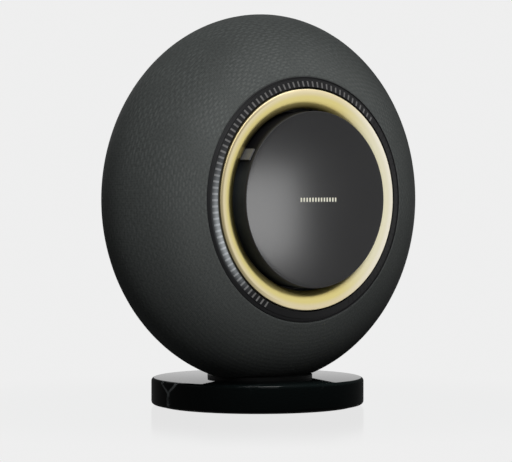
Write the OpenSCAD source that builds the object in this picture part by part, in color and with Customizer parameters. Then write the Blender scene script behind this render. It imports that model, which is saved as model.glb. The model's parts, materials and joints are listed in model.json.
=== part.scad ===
// Free-standing smart speaker: a round fabric-covered body on a stone plinth.
// Millimetres. Z is up, the face looks along -Y, and X runs to the right seen from the front.
// The origin is on the table, in the middle of the plinth's underside.

/* [Body] */
// Diameter of the round body, over its knitted cover
body_d = 372; // [356:1:390]
// Depth of the body in front of its widest plane
front_depth = 87; // [83:1:94]
// Depth of the body behind its widest plane
rear_depth = 105; // [101:1:115]
// How far the body's widest plane lies in front of the plinth's middle
body_forward = 13; // [8:1:18]
// How much of the round underside is cut off flat
flat_cut = 9.5; // [9:0.5:12]
// Thickness of the knitted cover
cover_t = 1.2; // [0.8:0.1:1.6]
// Wall of the two plastic shells
shell_wall = 3; // [2.5:0.1:3.5]
// Thickness of the shells' flat floor
floor_t = 3.5; // [3:0.5:5]
// Number of screws that join the two shells
shell_screw_count = 8; // [6:2:10]

/* [Plinth] */
// Diameter of the stone plinth
plinth_d = 215; // [205:1:240]
// Height of the stone plinth
plinth_h = 27; // [24:1:34]
// Radius of the plinth's rounded edges
plinth_round = 3.5; // [1.5:0.5:5]
// Diameter of the rubber foot pad
foot_d = 196; // [180:1:200]
// Thickness of the rubber foot pad
foot_t = 1.5; // [1:0.5:3]
// Gap between the plinth and the body's flat underside
body_gap = 3.5; // [3:0.5:6]

/* [Neck] */
// Width of the neck
neck_w = 80; // [72:1:84]
// Depth of the neck, front to back
neck_t = 30; // [26:1:32]
// How far the neck's middle lies behind the body's widest plane
neck_back = 2.6; // [1:0.1:4]
// Diameter of the neck's round foot on the plinth
neck_foot_d = 106; // [96:1:112]
// How far the foot's middle lies in front of the plinth's middle
neck_foot_forward = 4; // [0:1:8]
// Lip of the neck's flange beyond the neck
neck_lip = 3; // [2:0.5:4]
// Thickness of the neck's flange
flange_t = 4; // [3:0.5:6]
// Height of the web that the chassis is screwed to
web_h = 22; // [18:1:30]
// Thickness of that web
web_t = 8; // [6:1:10]

/* [Gold ring] */
// Outside diameter of the gold volume ring
ring_d = 218; // [214:0.2:224]
// Width of the ring's face, rim to throat
face_w = 19.2; // [17:0.1:21]
// How far the face falls outward, from its crest to the rim
face_fall = 0.8; // [0.4:0.1:1.5]
// Width of the rolled inner lip of the face
lip_w = 12; // [9:0.1:14]
// How far the rolled lip falls into the throat
lip_fall = 8.4; // [6:0.1:9]
// Height of the ring's rim
rim_h = 9.4; // [8.6:0.1:11]
// Wall of the ring at its throat
throat_t = 1.8; // [1.4:0.1:2.4]
// How far the rim overhangs the ring's bearing skirt
rim_overhang = 4.2; // [3.6:0.1:5]
// Wall of the bearing skirt
skirt_t = 3; // [2.5:0.1:3.5]
// Length of the bush that the ring turns in
bush_len = 14; // [11:0.5:16]
// Wall of the bush
bush_t = 1.95; // [1.5:0.05:2.2]
// Radial clearance of the running fit
running_fit = 0.05; // [0.02:0.01:0.09]
// End play of the ring on its bush
end_play = 0.3; // [0.2:0.05:0.5]
// Number of slots in the code ring
code_slots = 60; // [40:10:80]
// Width of the code ring's track inside the skirt
code_track = 7; // [6:0.5:8]
// Thickness of the code ring
code_t = 1.2; // [1:0.1:1.6]

/* [Bezel and level scale] */
// Gap between the gold ring and the bezel
ring_gap = 1.8; // [1.5:0.1:3]
// Width of the bezel's face
bezel_band = 10.5; // [10:0.1:12]
// Height of the bezel at its outer edge
bezel_h = 10.4; // [9.5:0.1:11.5]
// Wall of the bezel under its outer edge
bezel_wall = 2; // [1.6:0.1:2.4]
// Thickness of the bezel's face at its outer edge
bezel_face_t = 2.5; // [2:0.1:3]
// Angle between neighbouring ticks of the scale
tick_pitch = 3; // [3:0.5:6]
// Angle that the scale covers on each side of the top
scale_reach = 153; // [120:3:165]
// Width of a tick
tick_w = 2; // [1.4:0.1:2.4]
// Length of a tick
tick_len = 5.4; // [4:0.1:5.8]
// Distance of the ticks from the bezel's inner edge
tick_inset = 0.6; // [0.5:0.1:1]
// Thickness of the light guide's ring
guide_t = 3; // [2:0.5:4]
// Thickness of the circuit boards
board_t = 1.6; // [1.2:0.1:2]

/* [Front frame] */
// Thickness of the front frame's flange
frame_t = 4; // [3:0.5:5]
// Wall of the hub that holds the bush
hub_wall = 3; // [2.4:0.1:3.2]
// Width of the frame's flange beyond the bezel
frame_lip = 5; // [4.5:0.1:5.5]

/* [Disc] */
// Gap between the ring's throat and the glass disc
disc_gap = 2.8; // [2:0.1:4]
// How far the disc's edge stands in front of the ring's rim
disc_proud = 11.4; // [9:0.1:13]
// Thickness of the glass at its edge
glass_t = 3; // [2:0.1:4]
// Height of the glass disc's crown
crown = 3.5; // [2:0.1:6]
// Height of the disc's black cup
cup_h = 30; // [26:1:32]
// Wall of the cup
cup_wall = 2.5; // [2:0.1:3]
// Thickness of the cup's floor and of the spider's plate
cup_floor = 3; // [2.5:0.1:4]
// Wall of the spider's rim
spider_rim = 2.4; // [2:0.1:3]
// Height of the spider's rim and spokes above its plate
spider_rim_h = 8; // [6:0.5:9]
// Width of each spoke
spoke_w = 12; // [8:1:16]
// Height of the spokes above the spider's plate
spoke_h = 28; // [22:1:29]
// Number of small lights across the middle of the glass
dot_count = 13; // [3:2:15]
// Width of a small light
dot_w = 2; // [1.4:0.1:2.4]
// Height of a small light
dot_h = 4.6; // [3:0.2:6]
// Spacing of the small lights
dot_pitch = 3.6; // [3:0.2:6]

/* [Chassis] */
// Front face of the chassis plate, in front of the body's widest plane
chassis_front = 13; // [12:0.5:14]
// Thickness of the chassis plate
chassis_t = 3; // [2:0.5:4]
// Width of the chassis plate
chassis_w = 140; // [130:2:160]
// Height of the chassis plate above the body's middle
chassis_top = 118; // [112:2:130]
// Length of the spacers under the circuit boards
spacer_h = 5; // [4:0.5:6]

/* [Woofer] */
// Distance from the rear grille's crown to the woofer's baffle
grille_room = 23; // [21:0.5:26]
// Thickness of that baffle
baffle_t = 3.5; // [3:0.5:5]
// Diameter of the woofer's flange
woofer_d = 164; // [156:1:170]
// Diameter of the woofer's cone at its surround
woofer_cone_d = 114; // [108:1:116]
// Diameter of the woofer's voice coil
woofer_coil_d = 32; // [25:1:36]
// Diameter of the woofer's magnet
woofer_magnet_d = 90; // [80:1:100]
// Thickness of the woofer's magnet
woofer_magnet_t = 15; // [12:1:18]
// Depth of the woofer's basket
woofer_depth = 29; // [27:1:32]

/* [Mid drivers] */
// Distance of a mid driver's middle from the body's axis
mid_from_axis = 158; // [157:0.5:160]
// Diameter of a mid driver's flange
mid_d = 46; // [42:1:47]
// Diameter of a mid driver's cone at its surround
mid_cone_d = 22; // [20:1:23]
// Diameter of a mid driver's voice coil
mid_coil_d = 10; // [9:1:12]
// Diameter of a mid driver's magnet
mid_magnet_d = 28; // [26:1:30]
// Thickness of a mid driver's magnet
mid_magnet_t = 8; // [6:1:9]
// Depth of a mid driver's basket
mid_depth = 16; // [15:1:18]
// Depth of a mid driver's seat under the cover
mid_seat = 13; // [12:0.5:15]

/* [Tweeters] */
// Clock angle of each tweeter, from the top
tweeter_clock = 45; // [40:1:50]
// Distance of a tweeter's middle from the body's axis
tweeter_from_axis = 155; // [154:0.5:157]
// Diameter of a tweeter's flange
tweeter_d = 40; // [36:1:44]
// Diameter of a tweeter's dome
dome_d = 25; // [22:1:26]
// Depth of a tweeter's seat under the cover
tweeter_seat = 9; // [8:0.5:11]
// Depth of a tweeter's housing behind its flange
tweeter_body_h = 12; // [10:0.5:14]

/* [Rear] */
// Diameter of the well that holds the rear grille
well_d = 197; // [192:1:204]
// Width of the trim ring round the grille
trim_w = 3; // [2:0.5:5]
// How far the trim ring stands proud of the cover
trim_proud = 0.6; // [0.2:0.1:1]
// Thickness of the rear grille
grille_t = 2; // [1.6:0.1:2.4]
// Width of a slot in the grille
slot_w = 3; // [2:0.1:3.4]
// Radial pitch of the slots
slot_pitch = 7; // [6:0.5:9]
// Width of the socket bay
bay_w = 120; // [118:1:124]
// Height of the socket bay
bay_h = 44; // [43:1:48]
// Gap between the trim ring and the socket bay
bay_below_trim = 2; // [1:0.5:4]
// Depth of the socket bay's floor under the cover at the bay's lower corners
bay_least = 4.27; // [3.6:0.01:6]
// Wall of the socket bay
bay_wall = 2; // [1.6:0.1:2.4]
// Thickness of the bay's floor
bay_floor_t = 3; // [2.5:0.1:3.4]
// Depth of the socket housings
socket_depth = 12; // [11:0.5:13]
// Diameter of the two push buttons
button_d = 8; // [6:0.5:9]
// Travel of a push button
button_travel = 0.8; // [0.4:0.1:1]
// Travel of the mute switch
mute_travel = 4; // [2:0.5:4]

/* [Hidden] */

$fn = 96;
arc_steps = 22;
fit = 0.05;
clear = 0.2;
body_r = body_d / 2;
floor_y = flat_cut - body_r;
plinth_top = foot_t + plinth_h;
body_z = plinth_top + body_gap - floor_y;

// Radii and levels of the face, measured out from the body's axis and forward of its widest plane.
ring_r = ring_d / 2;
throat_r = ring_r - face_w;
rim_front = front_at(ring_r);
crest_front = rim_front + face_fall;
crest_r = throat_r + lip_w;
throat_front = crest_front - lip_fall;
ring_shoulder = rim_front - rim_h;
skirt_r = ring_r - rim_overhang;
skirt_in = skirt_r - skirt_t;
bush_front = ring_shoulder - end_play;
bush_back = bush_front - bush_len;
bush_r = skirt_r + running_fit + bush_t;
skirt_end = bush_back - end_play;
code_in = skirt_in - code_track;
code_back = skirt_end - code_t;
bezel_in = ring_r + ring_gap;
bezel_r = bezel_in + bezel_band;
bezel_outer_front = front_at(bezel_r);
bezel_inner_front = front_at(bezel_in);
seat = bezel_outer_front - bezel_h;
face_back = bezel_outer_front - bezel_face_t;
tick_in = bezel_in + tick_inset;
tick_out = tick_in + tick_len;
tick_total = 2 * floor(scale_reach / tick_pitch) + 1;
guide_in = bezel_in + 1;
guide_out = bezel_r - bezel_wall - 2 * fit;
frame_out = bezel_r + frame_lip;
screw_circle = bezel_r + frame_lip / 2;

disc_r = throat_r - disc_gap;
disc_front = rim_front + disc_proud;
glass_back = disc_front - glass_t;
cup_back = glass_back - cup_h;
spider_back = cup_back - cup_floor;
spider_in = code_in - 2.5 - spider_rim;
spider_out = spider_in + spider_rim;
touch_front = glass_back - 3;
touch_r = disc_r - cup_wall - 4;
spoke_clocks = [120, 300];
post_x = 55;
post_y = 50;

neck_centre_y = neck_back - body_forward;
plinth_screw_x = 24;
plinth_screw_y = 7;
chassis_back = chassis_front - chassis_t;
neck_floor = floor_y + floor_t;
stalk_w = 68;
stalk_top = -60;
main_size = [84, 90];
main_y = 50;
amp_size = [110, 84];
amp_y = 62;
power_size = [96, 74];
power_y = -32;
can_size = [52, 44, 4];
can_wall = 0.4;
can_y = 12;
aerial_size = [10, 36, 0.8];
sink_size = [84, 56, 3];
fin_size = [2, 56, 15];
fin_pitch = 10;
transformer_size = [40, 22, 14];
transformer_x = -22;
capacitor_r = 5.5;
capacitor_h = 18;
capacitor_pitch = 13;
parts_y = 22;

grille_r = well_d / 2 - clear;
trim_r = well_d / 2 + trim_w;
grille_slots = floor((grille_r - 10) / slot_pitch);
slot_deep = rear_depth + rear_at(grille_r) + grille_t + 3;
baffle_depth = rear_depth - grille_room;
boss_r = 5.5;
boss_len = 14;
boss_circle = body_r - cover_t - shell_wall - boss_r + 1;
bay_y = -trim_r - bay_below_trim - bay_h / 2;
bay_floor = -rear_at(norm([bay_w / 2, bay_y - bay_h / 2])) - bay_least;
bay_in = bay_floor - bay_floor_t;
board_back = bay_floor - socket_depth;
button_y = bay_y - 8;
power_x = 12;
pair_x = 28;
mute_x = 47;
switch_h = 4.2;
mute_body_h = 7;

// A driver's sizes: flange, wall, cone, coil and magnet radii, wall thickness, depth of its basket,
// height of each step in it, magnet thickness, plate thickness, gasket and flange thickness.
woofer = [woofer_d / 2, woofer_d / 2 - 10.5, woofer_cone_d / 2, woofer_coil_d / 2,
    woofer_magnet_d / 2, 2, woofer_depth, 10, woofer_magnet_t, 5, 1, 2.5];
mid = [mid_d / 2, mid_d / 2 - 5.5, mid_cone_d / 2, mid_coil_d / 2,
    mid_magnet_d / 2, 1.2, mid_depth, 5, mid_magnet_t, 2.5, 0.8, 1.8];
baffle_r = rear_radius(baffle_depth - baffle_t, cover_t + shell_wall);
baffle_hole_r = d_wall_r(woofer) + clear;
function d_flange(d) = d[0];
function d_wall_r(d) = d[1];
function d_cone(d) = d[2];
function d_coil(d) = d[3];
function d_magnet(d) = d[4];
function d_wall(d) = d[5];
function d_depth(d) = d[6];
function d_step(d) = d[7];
function d_magnet_t(d) = d[8];
function d_plate(d) = d[9];
function d_gasket(d) = d[10];
function d_top(d) = d[10] + d[11];
function d_ledge(d) = d_depth(d) - d_step(d);
function d_neck(d) = -0.65 * d_ledge(d);
function d_roll(d) = (d_wall_r(d) - d_wall(d) - 3 * d_wall(d) / 2 - d_cone(d)) / 2;

// The body's outline is two half ellipses that share the widest plane.
function front_at(r, inset = 0) = (front_depth - inset) * sqrt(1 - pow(r / (body_r - inset), 2));
function rear_at(r, inset = 0) = -(rear_depth - inset) * sqrt(1 - pow(r / (body_r - inset), 2));
function rear_radius(d, inset) = (body_r - inset) * sqrt(1 - pow(d / (rear_depth - inset), 2));
function angle_at(r, inset = 0) = acos(r / (body_r - inset));
function arc(depth, inset, from, to, steps = arc_steps) = [
    for (i = [0:steps]) let (a = from + (to - from) * i / steps)
        [(body_r - inset) * cos(a), (depth - inset) * sin(a)]];
// How far the outward normal leans away from the body's axis.
function lean(r) = atan((r / pow(body_r, 2)) / (front_at(r) / pow(front_depth, 2)));

module front_axis() translate([0, -body_forward, body_z]) rotate([90, 0, 0]) children();
module at_clock(c, r = 0) rotate([0, 0, -c]) translate([0, r, 0]) children();
module on_face(c, r) at_clock(c, r) translate([0, 0, front_at(r)]) rotate([-lean(r), 0, 0]) children();
module woofer_place() front_axis() translate([0, 0, -baffle_depth]) rotate([180, 0, 0]) children();
module mid_place(side) front_axis() on_face(side * 90, mid_from_axis)
    translate([0, 0, -mid_seat]) children();
module tweeter_place(side) front_axis() on_face(side * tweeter_clock, tweeter_from_axis)
    translate([0, 0, -tweeter_seat]) children();

module turned(points) rotate_extrude() polygon(points);
module tube(r_out, r_in, h) difference() {
    cylinder(r = r_out, h = h);
    translate([0, 0, -1]) cylinder(r = r_in, h = h + 2);
}
module stadium(w, t) {
    square([w - t, t], center = true);
    for (s = [-1, 1]) translate([s * (w - t) / 2, 0]) circle(t / 2);
}
module plate(w, h, t) translate([-w / 2, -h / 2, 0]) cube([w, h, t]);
module screw(r, length, head_r, head_h) {
    cylinder(r = r, h = length);
    translate([0, 0, -head_h]) cylinder(r = head_r, h = head_h);
}

// The body's outer form as a closed solid, and what lies under its flat underside.
module body_form(inset) turned(concat(arc(front_depth, inset, 90, 0), arc(rear_depth, inset, 0, -90)));
module underside_cut() translate([-body_r, floor_y - body_d, -body_d]) cube([body_d, body_d, 2 * body_d]);
module neck_hole() rotate([90, 0, 0]) translate([0, -neck_back, -floor_y - floor_t - 1])
    linear_extrude(floor_t + 2) stadium(neck_w + 2 * clear, neck_t + 2 * clear);
module half_floor(front) intersection() {
    body_form(cover_t + 1);
    translate([-body_r, floor_y, front ? 0 : -rear_depth])
        cube([body_d, floor_t, front ? front_depth : rear_depth]);
}
module bay_window(gap) translate([0, bay_y, -rear_depth - 5])
    plate(bay_w + 2 * gap, bay_h + 2 * gap, rear_depth - 10);
module shell_bosses(up) for (i = [0:shell_screw_count - 1])
    at_clock((i + 0.5) * 360 / shell_screw_count, boss_circle)
        translate([0, 0, up ? 0 : -boss_len]) cylinder(r = boss_r, h = boss_len);
module shell_screw_set(gap) for (i = [0:shell_screw_count - 1])
    at_clock((i + 0.5) * 360 / shell_screw_count, boss_circle)
        translate([0, 0, -boss_len + 3]) screw(2 + gap, 2 * boss_len - 6, 3.6 + gap, 3);
module frame_screw_set(gap) for (i = [0:5])
    at_clock(i * 60, screw_circle) translate([0, 0, seat - frame_t]) screw(1.5 + gap, frame_t + 4, 2.2, 2);

module driver_boss(flange_r, seat_depth) translate([0, 0, -seat_depth - 3])
    cylinder(r = flange_r + clear + 2.5, h = seat_depth + 3);
module driver_cut(flange_r, hole_r, seat_depth) {
    translate([0, 0, -seat_depth]) cylinder(r = flange_r + clear, h = seat_depth + 30);
    translate([0, 0, -seat_depth - 4]) cylinder(r = hole_r + clear, h = 5);
}

module plinth() color([0.03, 0.03, 0.035]) translate([0, 0, foot_t]) difference() {
    rotate_extrude() {
        square([plinth_d / 2 - plinth_round, plinth_h]);
        translate([0, plinth_round]) square([plinth_d / 2, plinth_h - 2 * plinth_round]);
        for (z = [plinth_round, plinth_h - plinth_round])
            translate([plinth_d / 2 - plinth_round, z]) circle(plinth_round);
    }
    translate([0, neck_centre_y, 0]) for (x = [-1, 1], y = [-1, 1])
        translate([x * plinth_screw_x, y * plinth_screw_y, -1]) {
            cylinder(r = 3 + fit, h = plinth_h + 2);
            cylinder(r = 6, h = 9);
        }
}

module foot_pad() color([0.05, 0.05, 0.05]) cylinder(r = foot_d / 2, h = foot_t);

module plinth_screws() color("silver") for (x = [-1, 1], y = [-1, 1])
    translate([x * plinth_screw_x, neck_centre_y + y * plinth_screw_y, foot_t + 8])
        screw(3, plinth_h - 8 + 9, 5, 5);

module neck_casting() color([0.2, 0.2, 0.21]) difference() {
    union() {
        translate([0, -neck_foot_forward, plinth_top]) cylinder(d = neck_foot_d, h = body_gap - clear);
        translate([0, neck_centre_y, plinth_top]) linear_extrude(body_gap + floor_t) stadium(neck_w, neck_t);
        translate([0, neck_centre_y, plinth_top + body_gap + floor_t]) linear_extrude(flange_t)
            stadium(neck_w + 2 * neck_lip, neck_t + 2 * neck_lip);
        translate([-stalk_w / 2, -body_forward - chassis_back, plinth_top + body_gap + floor_t + flange_t])
            cube([stalk_w, web_t, web_h]);
    }
    for (x = [-1, 1], y = [-1, 1])
        translate([x * plinth_screw_x, neck_centre_y + y * plinth_screw_y, plinth_top - 1])
            cylinder(r = 3 + fit, h = 10.2);
    front_axis() chassis_screw_set(fit);
}
module chassis_screw_set(gap) for (x = [-1, 1], y = [0.3, 0.75])
    translate([x * 22, neck_floor + flange_t + y * web_h, chassis_front]) rotate([180, 0, 0])
        screw(2 + gap, chassis_t + web_t - 2, 3.5, 2.6);

module front_shell() color([0.16, 0.16, 0.16]) front_axis() difference() {
    union() {
        turned(concat(
            arc(front_depth, cover_t, angle_at(bezel_r + clear, cover_t), 0),
            arc(front_depth, cover_t + shell_wall, 0, angle_at(frame_out, cover_t + shell_wall)),
            [[frame_out, seat], [bezel_r + clear, seat]]));
        intersection() {
            body_form(cover_t + 1);
            union() {
                for (s = [-1, 1]) {
                    on_face(s * 90, mid_from_axis) driver_boss(d_flange(mid), mid_seat);
                    on_face(s * tweeter_clock, tweeter_from_axis) driver_boss(tweeter_d / 2, tweeter_seat);
                }
                shell_bosses(true);
            }
        }
        half_floor(true);
    }
    for (s = [-1, 1]) {
        on_face(s * 90, mid_from_axis) driver_cut(d_flange(mid), d_wall_r(mid), mid_seat);
        on_face(s * tweeter_clock, tweeter_from_axis)
            driver_cut(tweeter_d / 2, tweeter_d / 2 - 3.5, tweeter_seat);
    }
    shell_screw_set(fit);
    frame_screw_set(fit);
    neck_hole();
    underside_cut();
}

module rear_shell() color([0.16, 0.16, 0.16]) front_axis() difference() {
    union() {
        turned(concat(
            arc(rear_depth, cover_t, 0, -angle_at(trim_r, cover_t)),
            [[well_d / 2, rear_at(well_d / 2, cover_t)], [well_d / 2, -baffle_depth],
                [baffle_hole_r, -baffle_depth], [baffle_hole_r, baffle_t - baffle_depth]],
            arc(rear_depth, cover_t + shell_wall, -angle_at(baffle_r, cover_t + shell_wall), 0)));
        intersection() {
            body_form(cover_t + 1);
            shell_bosses(false);
        }
        half_floor(false);
    }
    bay_window(clear);
    shell_screw_set(fit);
    neck_hole();
    underside_cut();
}

module knitted_cover() color([0.25, 0.26, 0.25]) front_axis() difference() {
    turned(concat(
        arc(front_depth, 0, angle_at(bezel_r + clear), 0),
        arc(rear_depth, 0, 0, -angle_at(trim_r)),
        arc(rear_depth, cover_t, -angle_at(trim_r, cover_t), 0),
        arc(front_depth, cover_t, 0, angle_at(bezel_r + clear, cover_t))));
    bay_window(clear);
    underside_cut();
}

module case_screws() color("silver") front_axis() {
    shell_screw_set(0);
    frame_screw_set(0);
    chassis_screw_set(0);
}

module chassis_plate() color([0.55, 0.56, 0.58]) front_axis() difference() {
    translate([0, 0, chassis_back]) linear_extrude(chassis_t) difference() {
        union() {
            translate([-chassis_w / 2, stalk_top]) square([chassis_w, chassis_top - stalk_top]);
            translate([-stalk_w / 2, neck_floor + flange_t])
                square([stalk_w, stalk_top - neck_floor - flange_t]);
        }
        for (x = [-1, 1]) translate([x * (chassis_w / 2 - 8), 10]) circle(4);
        translate([-12, -86]) square([24, 12]);
    }
    chassis_screw_set(fit);
}

module standoffs() color([0.7, 0.7, 0.72]) front_axis() for (x = [-1, 1], y = [-1, 1])
    translate([x * post_x, y * post_y, chassis_front]) cylinder(r = 5, h = spider_back - chassis_front);

module board_spacer_set(size, y) for (sx = [-1, 1], sy = [-1, 1])
    translate([sx * (size[0] / 2 - 5), y + sy * (size[1] / 2 - 5), 0]) cylinder(r = 2.5, h = spacer_h);
module board_spacers() color([0.72, 0.6, 0.3]) front_axis() {
    translate([0, 0, chassis_front]) board_spacer_set(main_size, main_y);
    translate([0, 0, chassis_back - spacer_h]) {
        board_spacer_set(amp_size, amp_y);
        board_spacer_set(power_size, power_y);
    }
}

module front_frame() color([0.3, 0.3, 0.32]) front_axis() difference() {
    turned([[bush_r, bush_back], [bush_r + hub_wall, bush_back], [bush_r + hub_wall, seat - frame_t],
        [frame_out - clear, seat - frame_t], [frame_out - clear, seat], [bush_r + hub_wall, seat],
        [bush_r + hub_wall, bush_front - 1], [bush_r, bush_front - 1]]);
    frame_screw_set(fit);
}

module tick_bar(w, from, to, bottom, drop) rotate([90, 0, 90]) translate([0, 0, -w / 2])
    linear_extrude(w) polygon([[from, bottom], [to, bottom], [to, front_at(to) - drop],
        [from, front_at(from) - drop]]);
module each_tick() for (i = [0:tick_total - 1]) rotate([0, 0, -(i - (tick_total - 1) / 2) * tick_pitch])
    children();

module bezel() color([0.03, 0.03, 0.03]) front_axis() difference() {
    turned([[bezel_in, seat], [bezel_in, front_at(bezel_in)], [tick_in, front_at(tick_in)],
        [tick_out, front_at(tick_out)], [tick_out + 0.8, front_at(tick_out + 0.8)],
        [tick_out + 1.1, front_at(tick_out + 1.1) - 0.7], [bezel_r - 0.9, front_at(bezel_r - 0.9) - 0.7],
        [bezel_r - 0.6, front_at(bezel_r - 0.6)], [bezel_r, bezel_outer_front], [bezel_r, seat],
        [bezel_r - bezel_wall, seat], [bezel_r - bezel_wall, face_back], [guide_in - fit, face_back],
        [guide_in - fit, seat]]);
    each_tick() tick_bar(tick_w + 2 * fit, tick_in - fit, tick_out + fit, face_back - 1, -2);
}

module light_guide() color([0.8, 0.82, 0.84]) front_axis() {
    translate([0, 0, face_back - guide_t]) tube(guide_out, guide_in, guide_t);
    each_tick() tick_bar(tick_w, tick_in, tick_out, face_back - 0.5, 0.15);
}

module scale_board() color([0.05, 0.25, 0.12]) front_axis()
    translate([0, 0, seat]) tube(guide_out, guide_in, board_t);

module scale_lamps() color([0.95, 0.95, 0.85]) front_axis() each_tick()
    translate([-1, (tick_in + tick_out) / 2 - 1, seat + board_t]) cube([2, 2, 0.8]);

module volume_ring() color([0.83, 0.74, 0.5]) front_axis() turned(concat(
    [for (i = [0:9]) let (a = 90 * i / 9)
        [crest_r - lip_w * cos(a), crest_front - lip_fall * (1 - sin(a))]],
    [for (i = [1:6]) let (t = i / 6) [crest_r + (ring_r - crest_r) * t, crest_front - face_fall * t * t]],
    [[ring_r, ring_shoulder], [skirt_r, ring_shoulder], [skirt_r, skirt_end], [skirt_in, skirt_end],
        [skirt_in, ring_shoulder - 1.5], [throat_r + 2, throat_front - throat_t],
        [throat_r, throat_front - throat_t]]));

module code_ring() color([0.1, 0.1, 0.1]) front_axis() translate([0, 0, code_back]) difference() {
    tube(skirt_r + 1.5, code_in, code_t);
    for (i = [0:code_slots - 1]) at_clock(i * 360 / code_slots, code_in + code_track / 2)
        translate([0, 0, -1]) plate(2, code_track - 3, code_t + 2);
}

module ring_bush() color([0.9, 0.9, 0.86]) front_axis() translate([0, 0, bush_back])
    tube(bush_r, skirt_r + running_fit, bush_len);

module ring_sensor() color([0.08, 0.08, 0.09]) front_axis() difference() {
    at_clock(120) translate([0, 0, code_back - 4]) translate([-5, spider_out - 1, 0])
        cube([10, skirt_in - spider_out, code_t + 8]);
    translate([0, 0, code_back - 5]) cylinder(r = spider_out, h = code_t + 10);
    translate([0, 0, code_back - 0.6]) tube(skirt_r, code_in - 0.6, code_t + 1.2);
}

module disc_spider() color([0.12, 0.12, 0.13]) front_axis() {
    difference() {
        union() {
            translate([0, 0, spider_back]) cylinder(r = spider_out, h = cup_floor);
            translate([0, 0, cup_back]) tube(spider_out, spider_in, spider_rim_h);
            for (c = spoke_clocks) at_clock(c) translate([-spoke_w / 2, disc_r - 1, cup_back - 0.5]) {
                cube([spoke_w, spider_in - disc_r + 2, spider_rim_h + 0.5]);
                cube([spoke_w, throat_r - disc_r - 0.2, spoke_h + 0.5]);
            }
        }
        translate([0, 0, cup_back]) cylinder(r = disc_r, h = spoke_h + 1);
        translate([-10, 0, spider_back - 1]) cube([20, 4, cup_floor + 2]);
    }
}

module disc_cup() color([0.03, 0.03, 0.035]) front_axis() difference() {
    turned([[0, cup_back], [disc_r, cup_back], [disc_r, glass_back], [disc_r - cup_wall, glass_back],
        [disc_r - cup_wall, touch_front - board_t], [touch_r - 3, touch_front - board_t],
        [touch_r - 3, cup_back + cup_floor], [0, cup_back + cup_floor]]);
    translate([-10, 0, cup_back - 1]) cube([20, 4, cup_floor + 2]);
}

module dot_set(gap, from, to) for (i = [0:dot_count - 1])
    translate([(i - (dot_count - 1) / 2) * dot_pitch, 0, from]) linear_extrude(to - from)
        rotate(90) stadium(dot_h + 2 * gap, dot_w + 2 * gap);
module disc_glass() color([0.02, 0.02, 0.025]) front_axis() difference() {
    turned(concat([[0, glass_back], [disc_r, glass_back], [disc_r, disc_front - 0.5]],
        [for (i = [0:12]) let (r = (disc_r - 0.5) * (1 - i / 12))
            [r, disc_front + crown * (1 - pow(r / disc_r, 2))]]));
    dot_set(fit, glass_back - 1, disc_front + crown + 1);
}

module touch_board() color([0.05, 0.22, 0.12]) front_axis()
    translate([0, 0, touch_front - board_t]) cylinder(r = disc_r - cup_wall - clear, h = board_t);

module microphones() color([0.75, 0.72, 0.6]) front_axis() for (i = [0:3])
    at_clock(45 + i * 90, touch_r - 8) translate([0, 0, touch_front]) plate(4, 3, 1.1);

module centre_lights() color([0.85, 0.72, 0.42]) front_axis()
    dot_set(0, touch_front, disc_front + crown - 0.1);

module basket(d) difference() {
    turned([[d_flange(d), d_gasket(d)], [d_flange(d), d_top(d)],
        [d_wall_r(d) - 3 * d_wall(d), d_top(d)], [d_wall_r(d) - 3 * d_wall(d), d_top(d) - d_wall(d) * 0.75],
        [d_wall_r(d) - d_wall(d), d_gasket(d)], [d_wall_r(d) - d_wall(d), d_step(d) - d_ledge(d)],
        [d_magnet(d) - 5 * d_wall(d) / 2, -d_ledge(d)], [d_magnet(d) - 11 * d_wall(d) / 2, -d_ledge(d)],
        [d_magnet(d) - 11 * d_wall(d) / 2, -d_ledge(d) - d_wall(d)],
        [d_magnet(d) - 4 * d_wall(d), -d_ledge(d) - d_wall(d)],
        [d_magnet(d) - 4 * d_wall(d), d_wall(d) - d_depth(d)],
        [d_coil(d) + 2 * d_wall(d), d_wall(d) - d_depth(d)], [d_coil(d) + 2 * d_wall(d), -d_depth(d)],
        [d_magnet(d) - 2 * d_wall(d), -d_depth(d)], [d_magnet(d) - 2 * d_wall(d), -d_ledge(d) - d_wall(d)],
        [d_wall_r(d), d_step(d) - d_ledge(d) - d_wall(d)], [d_wall_r(d), d_gasket(d)]]);
}
module motor(d) {
    top = -d_depth(d) - fit;
    back = top - d_plate(d) - d_magnet_t(d) - 2 * fit;
    translate([0, 0, top - d_plate(d)])
        tube(d_magnet(d) - 3, d_coil(d) + 0.6 * d_wall(d), d_plate(d));
    translate([0, 0, back + fit]) tube(d_magnet(d), d_coil(d) + 3 * d_wall(d), d_magnet_t(d));
    translate([0, 0, back - d_plate(d)]) cylinder(r = d_magnet(d) - 3, h = d_plate(d));
    translate([0, 0, back - 1]) cylinder(r = d_coil(d) - 0.5 * d_wall(d), h = top - back + 1);
}
function cone_top(d, r) = d_neck(d) + 1.2
    + (r - d_coil(d)) * (d_top(d) - d_neck(d) - 1.2) / (d_cone(d) - 3 - d_coil(d));
module cone(d) {
    turned([[d_coil(d), d_neck(d)], [d_cone(d) - 3, d_top(d) - 1], [d_cone(d), d_top(d) - 1],
        [d_cone(d), d_top(d)], [d_cone(d) - 3, d_top(d)], [d_coil(d), d_neck(d) + 1.2]]);
    cap_r = d_coil(d) + 3;
    turned(concat([for (i = [0:6]) let (a = 90 * i / 6)
            [cap_r * sin(a), cone_top(d, cap_r) + cap_r * 0.3 * cos(a)]],
        [for (i = [6:-1:0]) let (a = 90 * i / 6)
            [(cap_r - 0.8) * sin(a), cone_top(d, cap_r) + (cap_r * 0.3 - 0.8) * cos(a)]]));
}
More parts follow.
